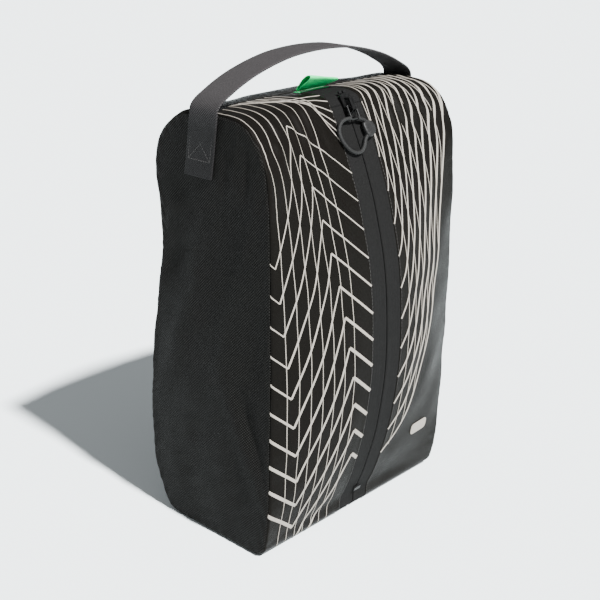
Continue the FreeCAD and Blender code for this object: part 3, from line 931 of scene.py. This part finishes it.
def print_left():
    field = Print(-1)
    for row in range(ROWS):
        share = row / (ROWS - 1)
        weight = 0.8 + 2.4 * float(smooth(share))
        peak = (PEAK_X - PEAK_SHIFT * share, PEAK_V - ROW_PITCH * row)
        drop = min(FOOT_DROP, peak[1] - PRINT_LOW)
        foot_x = FOOT_X - FOOT_SHIFT * share
        foot = (peak[0] + (foot_x - peak[0]) * drop / FOOT_DROP, peak[1] - drop)
        middle = ((peak[0] + foot[0]) / 2 - 2.0, (peak[1] + foot[1]) / 2 - 2.0)
        field.line([peak, middle, foot], growing(0.78, 1.9), 0.24)
        field.line([peak, (LIP_X, peak[1] - ARM_SLOPE * (peak[0] - LIP_X))], weight, 0.28)
        if drop == FOOT_DROP:
            seam = (HALF_WIDTH + 2, foot[1] + ARM_SLOPE * (HALF_WIDTH + 2 - foot[0]))
            field.line([foot, seam], weight, 0.28)
    for k in range(UPRIGHTS):
        field.line([(UPRIGHT_X + UPRIGHT_PITCH * k + UPRIGHT_LEAN * share ** 1.5,
                     PRINT_LOW + (PRINT_HIGH - PRINT_LOW) * share) for share in SHARES], 0.62, 0.20)
    for k in range(FAN_LINES):
        low, high = (LIP_X, FAN_V + FAN_PITCH * k), (40.0 + FAN_PITCH * k, PRINT_HIGH)
        middle = ((low[0] + high[0]) / 2 + 5.0, (low[1] + high[1]) / 2 - 5.0)
        field.line([low, middle, high], 0.75, 0.26)
    field.build("print_lines_left")


# Right half: steep lines sweep in from the outline to the zipper, and thin ones cross them.
STEEP_LINES, STEEP_X, STEEP_PITCH, STEEP_POWER = 11, 24.0, 8.8, 0.6
STEEP_V, STEEP_DROP = 320.0, 26.0    # where the first meets the zipper, and the step down
THIN_LINES, THIN_X, THIN_PITCH, THIN_LEAN = 8, 26.0, 10.5, 12.0


def steep_line(k):
    top, low = STEEP_X + STEEP_PITCH * k, STEEP_V - STEEP_DROP * k
    return [(LIP_X + (top - LIP_X) * share ** STEEP_POWER, low + (PRINT_HIGH - low) * share)
            for share in SHARES]


def print_right():
    field = Print(1)
    for k in range(STEEP_LINES):
        field.line(steep_line(k), min(0.95 + 0.13 * k, 2.0), 0.26)
    low = STEEP_V - STEEP_DROP * (STEEP_LINES - 1)
    reach = STEEP_X + STEEP_PITCH * (STEEP_LINES - 1) - LIP_X
    for k in range(THIN_LINES):
        x = THIN_X + THIN_PITCH * k
        stop = low + (PRINT_HIGH - low) * ((x - LIP_X) / reach) ** (1 / STEEP_POWER)
        middle = (x + 2.0, (stop + PRINT_HIGH) / 2)
        field.line([(x, stop), middle, (x - THIN_LEAN, PRINT_HIGH)], 0.65, 0.20)
    field.build("print_lines_right")


print_left()
print_right()

# ---- zipper band ----
TAPE_LOW, TAPE_HIGH = 18.0, 356.5
TAPE_THICK = 0.8
COIL_X, COIL_LIFT, COIL_TURN = 2.1, -2.9, 1.8


def v_at_height(z):
    front = (RUN > 0) & (RUN < V_TOP - 45)
    return float(np.interp(z, MIDDLE_LINE[front, 1], RUN[front]))


V_TAPE_LOW, V_TAPE_HIGH = v_at_height(TAPE_LOW), v_at_height(TAPE_HIGH - 0.5)


def tape_lift(x):
    """The tape rises a little over the coils and folds down at the middle."""
    a = np.abs(x)
    return -0.30 + 0.24 * np.exp(-((a - 2.4) / 1.5) ** 2) - 0.4 * np.exp(-((a - 0.35) / 0.25) ** 2)


def zipper_tape(sign, name, node):
    x = np.concatenate([[0.35, 0.5, 0.7, 1.0], spaced(1.5, 5, 0.7),
                        spaced(6.2, TAPE_HALF + 0.8, 1.9)])
    made = cloth_patch(name, sign * x[::sign], spaced(-5.6, V_TAPE_HIGH, 2.2), tape_lift,
                       TAPE_THICK)
    return finish_piece(made, "bag", "zipper_tape", BAND, node)


def coil(sign, name, node):
    """One half of the coil, hidden under the tape: a rod ribbed at every turn."""
    v = np.arange(V_TAPE_LOW, V_TAPE_HIGH - 2, 0.45)
    axis = skin(np.full(len(v), sign * COIL_X), v, COIL_LIFT)
    side = np.tile([1.0, 0.0, 0.0], (len(v), 1))
    out = np.cross(side, directions(axis))
    sides = 10
    turn = np.linspace(0, 2 * math.pi, sides, endpoint=False)
    radius = 0.86 + 0.12 * np.cos(2 * math.pi * v / COIL_TURN)
    points = axis[:, None] + radius[:, None, None] * (
        np.cos(turn)[None, :, None] * side[:, None] + np.sin(turn)[None, :, None] * out[:, None])
    faces = ring_faces(len(v), sides) + end_faces(len(v), sides)
    made = new_object(name, points.reshape(-1, 3), faces)
    return finish_piece(made, "bag", "zipper_coil", COIL, node)


def top_patch():
    x = spaced(-TAPE_HALF - 0.8, TAPE_HALF + 0.8, 2.0)
    made = cloth_patch("zipper_patch_cloth", x, spaced(V_TAPE_HIGH + 0.1, V_TOP, 2.0), -0.15,
                       TAPE_THICK)
    return finish_piece(made, "bag", "zipper_tape", BAND, "zipper_top_patch")


for side, sign in SIDES:
    zipper_tape(sign, "zipper_band_" + side, "zipper_tape_" + side)
for side, sign in SIDES:
    coil(sign, "coil_" + side, "zipper_coil_" + side)
top_patch()

# ---- webbing handle ----
WEB_HALF, WEB_THICK = 15.0, 1.6
HANDLE_LINE = [(0, 390.0), (28, 388.6), (50, 384.8), (70, 379.4), (85, 373.8), (96, 368.6),
               (105.6, 363.4), (110.4, 358.6), (111.4, 353.4), (111.4, 348.0)]
WEB_FOOT, WEB_TOP, WEB_SHIFT = 306.0, 353.0, 8.5


def handle_line():
    """Middle line of the webbing from foot to foot, (x, y shift, z), evenly spaced."""
    foot = [(111.0, 330.0), (110.9, 318.0), (110.9, WEB_FOOT)]
    half = HANDLE_LINE + foot
    whole = [(-x, z) for x, z in reversed(half[1:])] + half
    line = open_spline(whole, np.linspace(0, len(whole) - 1, 2000))
    run = lengths(line)
    even = np.append(np.arange(0, run[-1], 0.55), run[-1])
    x, z = resample(line, run, even).T
    shift = WEB_SHIFT * np.clip((WEB_TOP - z) / (WEB_TOP - WEB_FOOT), 0, 1)
    return np.stack([x, shift, z], 1), even


def make_handle():
    line, run = handle_line()
    tangent = np.gradient(line, axis=0)
    tangent[:, 1] = 0
    tangent = unit(tangent)
    out = np.stack([-tangent[:, 2], np.zeros(len(line)), tangent[:, 0]], 1)
    half = WEB_THICK / 2
    rim = WEB_HALF - np.array([0, 0.15, 0.6])
    across = np.concatenate([-rim, np.linspace(1.6 - WEB_HALF, WEB_HALF - 1.6, 25), rim[::-1]])
    edge = np.sqrt(np.clip(1 - (np.clip(np.abs(across) - 14.2, 0, None) / 0.8) ** 2, 0, 1))
    ring = [(a, half * e) for a, e in zip(across, edge)]
    ring += [(a, -half * e) for a, e in list(zip(across, edge))[-2:0:-1]]
    points, uv = [], []
    for p, o, r in zip(line, out, run):
        for a, h in ring:
            rib = 0.11 * math.sin(2 * math.pi * (a + r) / RIB_PITCH) * (1 if h > 0 else -1)
            place = p + np.array([0, a, 0]) + o * (h + (rib if abs(h) > half * 0.9 else 0))
            points.append(place)
            uv.append((a, r))
    rows, count = len(line), len(ring)
    faces = ring_faces(rows, count) + end_faces(rows, count)
    made = mend(new_object("webbing_handle", points, faces, uv))
    finish_piece(made, None, "webbing", WEBBING, "carry_handle", "handle_root_left",
                 "handle_root_right", "handle_end_left", "handle_end_right")
    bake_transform(made)
    return made


make_handle()

# ---- ribbon tab ----
TAB_HALF, TAB_Y, TAB_FOOT = 17.0, -3.0, 358.1
# The folded loop: share of its length from the foot, and which side of its middle.
TAB_LOOP = [(0.0, 0.4), (0.25, 0.7), (0.6, 1.0), (0.86, 0.9), (1.0, 0.1), (0.90, -0.8), (0.6, -1.0),
            (0.25, -0.7), (0.0, -0.4)]


def make_tab():
    """A ribbon folded into a loop: it stands at the left and falls forward at the right."""
    loop = open_spline(TAB_LOOP, np.linspace(0, len(TAB_LOOP) - 1, 64))
    x = np.linspace(-TAB_HALF, TAB_HALF, 30)
    points = np.zeros((len(x), len(loop), 3))
    for i, place in enumerate(x):
        share = (place + TAB_HALF) / (2 * TAB_HALF)
        fall = np.radians(38 + 14 * share ** 1.2 + 10 * loop[:, 0])
        reach = 20.0 - 4.5 * share
        gap = 2.2 - 0.9 * share + 0.15 * math.sin(9 * share)
        up, out = loop[:, 0] * reach, loop[:, 1] * gap
        points[i, :, 0] = place
        points[i, :, 1] = TAB_Y - up * np.sin(fall) + out * np.cos(fall)
        points[i, :, 2] = TAB_FOOT + (up + 0.6) * np.cos(fall) + out * np.sin(fall)
    grid_x, grid_r = np.meshgrid(x, lengths(points[0]), indexing="ij")
    made = grid_object("ribbon_tab", points, np.stack([grid_x, grid_r], -1))
    thicken(made, 0.7)
    subdivide(made)
    return finish_piece(made, "tab", "tab_ribbon", RIBBON, "loop_tab")


def tab_anchor():
    """The ribbon's sewn foot, flat on the cloth."""
    x = spaced(-TAB_HALF, TAB_HALF, 1.6)
    made = cloth_patch("ribbon_foot", x, spaced(V_TOP - 9.0, V_TOP - 2.6, 1.0), 0.35, 0.6)
    return finish_piece(made, "bag", "tab_ribbon", RIBBON, "loop_tab_anchor")


make_tab()
tab_anchor()

# ---- badge ----
BADGE_X, BADGE_Z = 72.0, 58.0
BADGE_HALF, BADGE_CORNER = (12.0, 5.5), 3.5
# The badge's rings: how far in from the rim, and how high above the cloth.
BADGE_RINGS = [(0, -0.1), (0, 0.5), (0.3, 0.7), (1.3, 0.7), (1.6, 0.5), (1.9, 0.5), (2.2, 0.68),
               (3.6, 0.70)]


def badge():
    """A plain rounded badge with a groove near its rim; it follows the cloth."""
    half, corner = np.array(BADGE_HALF), BADGE_CORNER
    angle = np.linspace(0, 2 * math.pi, 721)
    flat = np.stack([np.cos(angle), np.sin(angle)], 1)
    rim = np.sign(np.round(flat, 9)) * (half - corner) + corner * flat
    run = lengths(rim)
    rim = resample(rim, run, np.linspace(0, run[-1], 73)[:-1])
    middle = np.array([BADGE_X, v_at_height(BADGE_Z)])
    places = [middle + rim * (half - inset) / half for inset, _ in BADGE_RINGS]
    lifts = [np.full(len(rim), lift) for _, lift in BADGE_RINGS]
    places, lifts = np.concatenate(places + [[middle]]), np.concatenate(lifts + [[0.7]])
    count = len(rim)
    faces = ring_faces(len(BADGE_RINGS), count)
    last = (len(BADGE_RINGS) - 1) * count
    faces += [(last + k, last + (k + 1) % count, last + count) for k in range(count)]
    faces.append(tuple(range(count))[::-1])
    made = new_object("front_badge", skin(places[:, 0], places[:, 1], lifts), faces, places)
    return finish_piece(made, "bag", "print_ink", INK, "front_mark")


badge()

# ---- stitches ----
def stitches(name, centres, along, up, size, *nodes):
    """Short rounded threads, each lying along a direction on a surface."""
    length, width, height = size
    across = np.cross(along, up)
    points, faces = [], []
    for centre, a, u, w in zip(centres, along, up, across):
        base = len(points)
        for share, fat in ((-0.5, 0.3), (-0.34, 0.85), (0, 1), (0.34, 0.85), (0.5, 0.3)):
            for k in range(6):
                turn = math.pi * k / 3
                points.append(centre + a * length * share + w * (width / 2 * fat * math.cos(turn))
                              + u * (height / 2 * fat * math.sin(turn)))
        faces += ring_faces(5, 6, base) + end_faces(5, 6, base)
    made = new_object(name, points, faces)
    return finish_piece(made, "bag", "thread", THREAD, *nodes)


def seam_stitches(name, x, low, high, pitch, lift, size):
    """A row of stitches up the front at a distance x from the middle."""
    v = np.arange(low, high, pitch)
    wander = 0.18 * np.sin(v * 0.9) + 0.14 * np.sin(v * 2.3 + x)
    centres = skin(x + wander, v, lift)
    along = directions(centres)
    side = skin(x + 0.5, v, lift) - skin(x - 0.5, v, lift)
    up = unit(np.cross(side, along))
    stitches(name, centres, along, up, size)


for side, sign in SIDES:
    seam_stitches("lip_stitches_" + side, sign * (LIP_X + 1.3), 8, V_TAPE_HIGH + 4, 2.9, 0.24,
                  (2.3, 0.55, 0.34))


def sewn_place(sign, a, z, lift):
    shift = WEB_SHIFT * (WEB_TOP - z) / (WEB_TOP - WEB_FOOT)
    return np.array([sign * (110.9 + WEB_THICK / 2 + lift), shift + a, z])


def handle_stitches(name, sign, *nodes):
    """A box with both its diagonals, through the webbing's sewn end."""
    a, low, high, pitch = 11.8, 319.0, 344.0, 2.5
    corners = [(-a, low), (a, low), (a, high), (-a, high), (-a, low), (a, high)]
    legs = list(zip(corners[:-1], corners[1:])) + [((a, low), (-a, high))]
    centres, along = [], []
    for start, stop in legs:
        start, stop = (sewn_place(sign, *p, 0.06) for p in (start, stop))
        reach = np.linalg.norm(stop - start)
        count = int(reach / pitch)
        for k in range(count):
            centres.append(start + (stop - start) * (k + 0.5) / count)
            along.append((stop - start) / reach)
    up = np.tile([sign, 0.0, 0.0], (len(centres), 1))
    stitches(name, np.array(centres), np.array(along), up, (2.0, 0.7, 0.4), *nodes)


for side, sign in SIDES:
    handle_stitches("handle_stitches_" + side, sign, "handle_stitching_" + side)

# ---- stage, lights ----
def stage_material():
    s = Shader("floor_paper", (0.90, 0.965, 0.98), 0.9)
    s.set(Specular_IOR_Level=0.1)
    return s.material


def make_stage():
    mesh = bpy.data.meshes.new("floor")
    size = 30.0
    mesh.from_pydata([(-size, -size, 0), (size, -size, 0), (size, size, 0), (-size, size, 0)], [],
                     [(0, 1, 2, 3)])
    floor = bpy.data.objects.new("floor", mesh)
    bpy.context.collection.objects.link(floor)
    floor.location.z = -0.0004
    mesh.materials.append(stage_material())


def make_lights():
    """A strong lamp high in front of the bag, a faint one at its left, and pale surroundings."""
    world = bpy.data.worlds.new("world")
    world.use_nodes = True
    world.node_tree.nodes["Background"].inputs["Color"].default_value = (0.95, 0.98, 1.0, 1)
    world.node_tree.nodes["Background"].inputs["Strength"].default_value = 0.32
    bpy.context.scene.world = world
    for name, place, strength, angle in (("key", (-0.05, -0.855, 1.0), 16.5, 3.5),
                                         ("fill", (-0.80, -0.35, 0.45), 0.1, 30.0)):
        data = bpy.data.lights.new(name, "SUN")
        data.energy = strength
        data.angle = math.radians(angle)
        lamp = bpy.data.objects.new(name, data)
        lamp.location = place
        lamp.rotation_mode = "QUATERNION"
        lamp.rotation_quaternion = (-Vector(place)).to_track_quat("-Z", "Y")
        bpy.context.collection.objects.link(lamp)


make_stage()
make_lights()

TAPE_INSIDE = inner_finish("binding_tape", (0.010, 0.010, 0.010), 0.75, 1.2)
BACKING = inner_finish("backing", (0.014, 0.014, 0.0138), 0.8, 1.6)
BOARD = inner_finish("board", (0.020, 0.019, 0.018), 0.6, 3.0)
for material, node_names in ((METAL, ("slider_body", "slider_bridge", "pull_ring")),
                             (COIL, ("zipper_top_stops", "zipper_bottom_stop")),
                             (TAPE_INSIDE, ("seam_binding_left", "seam_binding_right")),
                             (BACKING, ("handle_patch_left", "handle_patch_right")),
                             (BOARD, ("base_board",))):
    for node_name in node_names:
        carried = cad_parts[node_name]
        carried.data.materials.clear()
        carried.data.materials.append(material)
